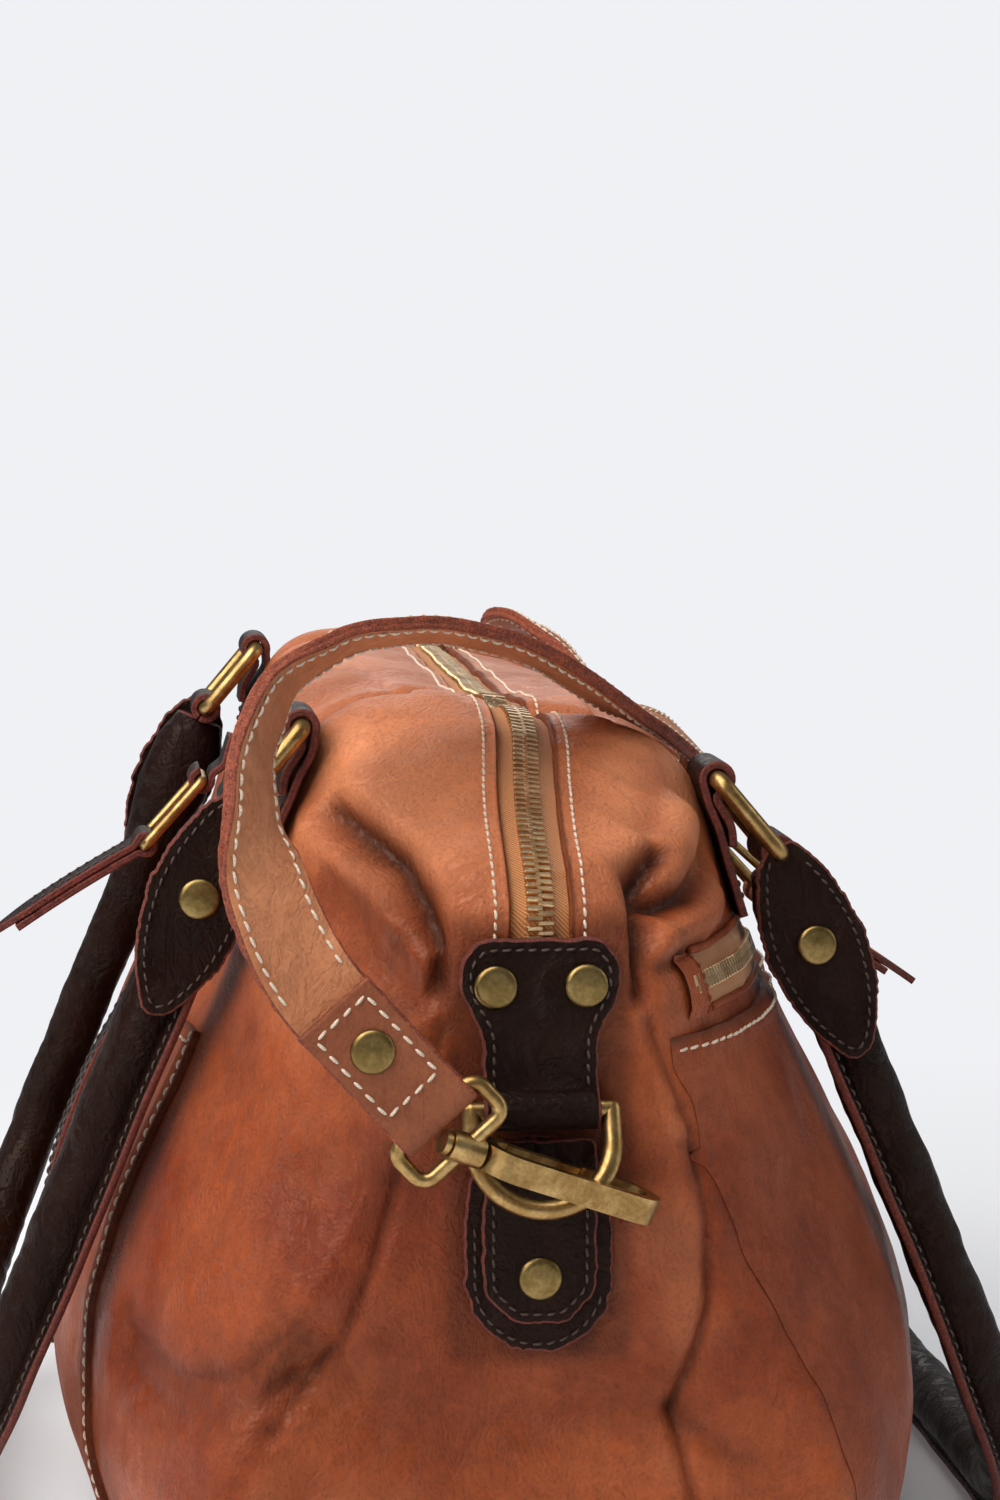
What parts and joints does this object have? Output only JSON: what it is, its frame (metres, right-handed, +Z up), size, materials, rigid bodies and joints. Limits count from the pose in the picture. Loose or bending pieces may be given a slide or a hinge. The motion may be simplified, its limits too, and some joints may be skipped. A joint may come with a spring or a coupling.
{
  "type": "leather travel bag",
  "caption": "Soft leather travel bag with rolled side handles on metal rings, end D-rings, top zip, side pockets and a clipped shoulder strap.",
  "frame": {"origin": "centre of the base on the floor", "axes": "+Z up, +Y along the bag from the near end to the far end, +X to the back side; the front pocket side is -X"},
  "size_m": [0.3714, 0.5314, 0.3189],
  "materials": {
    "body_leather": "pebbled reddish brown, waxed",
    "dark_leather": "smooth dark chocolate with raw red edges",
    "tan_leather": "smooth tan with speckled raw edges",
    "antique_brass": "antique, brushed and darkened in the recesses",
    "zip_tape": "woven twill",
    "lining_cloth": "plain woven",
    "board": "plain"
  },
  "bodies": {
    "bag": {"front_panel": "body_leather", "back_panel": "body_leather", "near_gusset": "body_leather", "far_gusset": "body_leather", "base_panel": "body_leather", "front_pocket": "body_leather", "back_pocket": "body_leather", "lining": "lining_cloth", "base_board": "board", "front_zip_tape": "zip_tape", "back_zip_tape": "zip_tape", "pocket_zip_tape": "zip_tape", "zip_chain": "antique_brass", "pocket_zip_chain": "antique_brass", "pocket_slider": "antique_brass", "front_chapes": "dark_leather", "back_chapes": "dark_leather", "near_tab_patch": "dark_leather", "far_tab_patch": "dark_leather", "near_tab_tail": "dark_leather", "far_tab_tail": "dark_leather", "near_tab": "dark_leather", "far_tab": "dark_leather", "near_tab_rivets": "antique_brass", "far_tab_rivets": "antique_brass", "front_belt_upper": "dark_leather", "back_belt_upper": "dark_leather", "front_belt_lower": "dark_leather", "back_belt_lower": "dark_leather", "shoulder_strap": "tan_leather", "near_strap_patch": "dark_leather", "far_strap_patch": "dark_leather", "near_strap_rivet": "antique_brass", "far_strap_rivet": "antique_brass"},
    "front_rings": {"near_front_ring": "antique_brass", "far_front_ring": "antique_brass"},
    "front_handle": {"front_handle_tube": "dark_leather", "front_handle_leaves": "dark_leather", "front_handle_rivets": "antique_brass"},
    "front_buckle": {"front_buckle": "antique_brass"},
    "front_belt_tail": {"front_belt_tail": "dark_leather"},
    "back_rings": {"near_back_ring": "antique_brass", "far_back_ring": "antique_brass"},
    "back_handle": {"back_handle_tube": "dark_leather", "back_handle_leaves": "dark_leather", "back_handle_rivets": "antique_brass"},
    "back_buckle": {"back_buckle": "antique_brass"},
    "back_belt_tail": {"back_belt_tail": "dark_leather"},
    "back_tongue": {"back_buckle_tongue": "antique_brass"},
    "near_d_ring": {"near_d_ring": "antique_brass"},
    "near_clasp_loop": {"near_clasp_loop": "antique_brass"},
    "near_hook": {"near_hook": "antique_brass"},
    "near_gate": {"near_gate": "antique_brass"},
    "far_d_ring": {"far_d_ring": "antique_brass"},
    "far_clasp_loop": {"far_clasp_loop": "antique_brass"},
    "far_hook": {"far_hook": "antique_brass"},
    "far_gate": {"far_gate": "antique_brass"},
    "zip_slider": {"zip_slider": "antique_brass"},
    "zip_pull": {"zip_pull": "antique_brass"},
    "pocket_pull": {"pocket_pull": "antique_brass"}
  },
  "joints": [
    {"name": "front_ring_swing", "type": "hinge", "parent": "bag", "child": "front_rings", "pos_m": [-0.06325, 0, 0.28253], "axis": [0, 1, 0], "range_deg": [0, 120]},
    {"name": "front_handle_swing", "type": "hinge", "parent": "front_rings", "child": "front_handle", "pos_m": [-0.08253, 0, 0.25955], "axis": [0, 1, 0], "range_deg": [0, 32]},
    {"name": "front_buckle_swing", "type": "hinge", "parent": "bag", "child": "front_buckle", "pos_m": [-0.08866, 0, 0.24898], "axis": [0, 1, 0], "range_deg": [0, 40]},
    {"name": "front_tail_swing", "type": "hinge", "parent": "front_buckle", "child": "front_belt_tail", "pos_m": [-0.10873, 0, 0.22669], "axis": [0, 1, 0], "range_deg": [0, 24]},
    {"name": "back_ring_swing", "type": "hinge", "parent": "bag", "child": "back_rings", "pos_m": [0.06389, 0, 0.26497], "axis": [0, -1, 0], "range_deg": [0, 120]},
    {"name": "back_handle_swing", "type": "hinge", "parent": "back_rings", "child": "back_handle", "pos_m": [0.08318, 0, 0.24199], "axis": [0, -1, 0], "range_deg": [0, 32]},
    {"name": "back_buckle_swing", "type": "hinge", "parent": "bag", "child": "back_buckle", "pos_m": [0.08855, 0, 0.22781], "axis": [0, -1, 0], "range_deg": [0, 40]},
    {"name": "back_tail_swing", "type": "hinge", "parent": "back_buckle", "child": "back_belt_tail", "pos_m": [0.10863, 0, 0.20552], "axis": [0, -1, 0], "range_deg": [0, 24]},
    {"name": "back_tongue_swing", "type": "hinge", "parent": "back_buckle", "child": "back_tongue", "pos_m": [0.08855, 0, 0.22781], "axis": [0, -1, 0], "range_deg": [0, 50]},
    {"name": "near_d_ring_swing", "type": "hinge", "parent": "bag", "child": "near_d_ring", "pos_m": [0, -0.23795, 0.18], "axis": [-1, 0, 0], "range_deg": [0, 4.5]},
    {"name": "near_clasp_swing", "type": "hinge", "parent": "bag", "child": "near_clasp_loop", "pos_m": [-0.033, -0.2598, 0.184], "axis": [-0.7431, 0, -0.6691], "range_deg": [0, 2.5]},
    {"name": "near_hook_swivel", "type": "hinge", "parent": "near_clasp_loop", "child": "near_hook", "pos_m": [-0.0243, -0.2598, 0.17434], "axis": [0.8938, 0.2667, -0.3605], "range_deg": [-5, 5]},
    {"name": "near_gate_turn", "type": "hinge", "parent": "near_hook", "child": "near_gate", "pos_m": [-0.01082, -0.24748, 0.1689], "axis": [-0.374, 0, -0.9274], "range_deg": [0, 7], "stiffness_Nm_per_rad": 0.002},
    {"name": "far_d_ring_swing", "type": "hinge", "parent": "bag", "child": "far_d_ring", "pos_m": [0, 0.23795, 0.18], "axis": [1, 0, 0], "range_deg": [0, 4.5]},
    {"name": "far_clasp_swing", "type": "hinge", "parent": "bag", "child": "far_clasp_loop", "pos_m": [0.033, 0.2598, 0.184], "axis": [0.7431, 0, -0.6691], "range_deg": [0, 2.5]},
    {"name": "far_hook_swivel", "type": "hinge", "parent": "far_clasp_loop", "child": "far_hook", "pos_m": [0.0243, 0.2598, 0.17434], "axis": [-0.8938, -0.2667, -0.3605], "range_deg": [-5, 5]},
    {"name": "far_gate_turn", "type": "hinge", "parent": "far_hook", "child": "far_gate", "pos_m": [0.01082, 0.24748, 0.1689], "axis": [0.374, 0, -0.9274], "range_deg": [0, 7], "stiffness_Nm_per_rad": 0.002},
    {"name": "zip_slide", "type": "slide", "parent": "bag", "child": "zip_slider", "axis": [0, -1, 0], "range_m": [0, 0.21]},
    {"name": "zip_pull_swing", "type": "hinge", "parent": "zip_slider", "child": "zip_pull", "pos_m": [0.00067, 0.112, 0.29079], "axis": [0.9873, 0, -0.1587], "range_deg": [0, 150]},
    {"name": "pocket_pull_swing", "type": "hinge", "parent": "bag", "child": "pocket_pull", "pos_m": [0.09008, 0.09257, 0.21393], "axis": [0.3412, -0.0263, -0.9396], "range_deg": [0, 120]}
  ],
  "couplings": [
    {"joint": "near_clasp_swing", "follows": "near_d_ring_swing", "ratio": 0.55},
    {"joint": "far_clasp_swing", "follows": "far_d_ring_swing", "ratio": 0.55}
  ]
}
